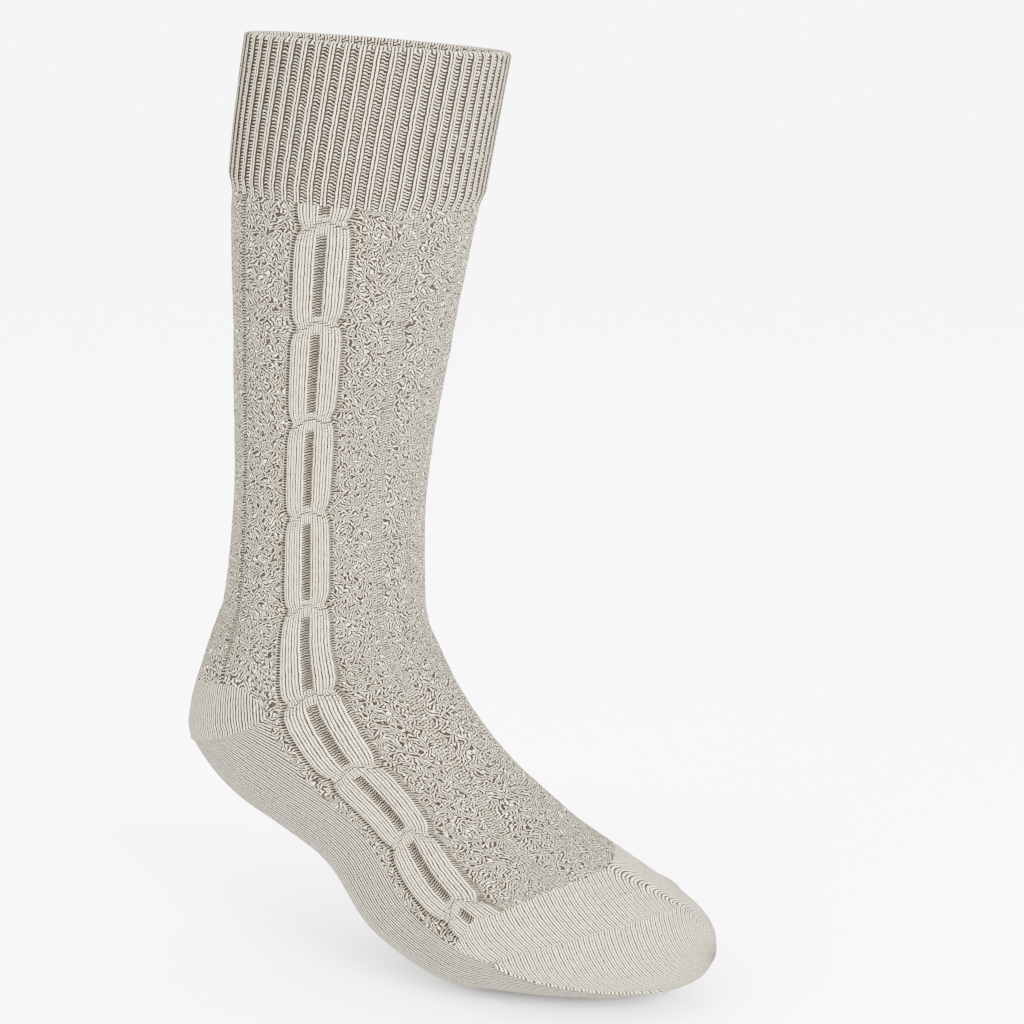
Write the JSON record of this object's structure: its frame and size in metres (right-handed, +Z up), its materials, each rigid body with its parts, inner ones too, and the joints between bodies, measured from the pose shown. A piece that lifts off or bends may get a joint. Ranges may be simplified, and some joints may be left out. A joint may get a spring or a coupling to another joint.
{
  "type": "knee-length knitted sock",
  "caption": "Thick knitted sock in its worn form, hollow, with a ribbed cuff, patterned leg and instep, plain heel, sole and toe.",
  "frame": {"origin": "middle of the opening at the rim of the cuff, where the wearer's leg goes in and the cuff grips it", "axes": "+Z up along the leg, +X forward towards the toe, +Y to the wearer's left"},
  "size_m": [0.2654, 0.1138, 0.4226],
  "materials": {
    "ribbed_knit": "matte marled wool, ribbed",
    "patterned_knit": "matte marled wool, crepe pattern with plain bands",
    "plain_knit": "matte marled wool, plain knit"
  },
  "bodies": {
    "root": {"rib_cuff": "ribbed_knit", "leg": "patterned_knit", "instep": "patterned_knit", "heel": "plain_knit", "sole": "plain_knit", "toe_band": "plain_knit", "toe_pocket": "plain_knit"}
  },
  "joints": []
}
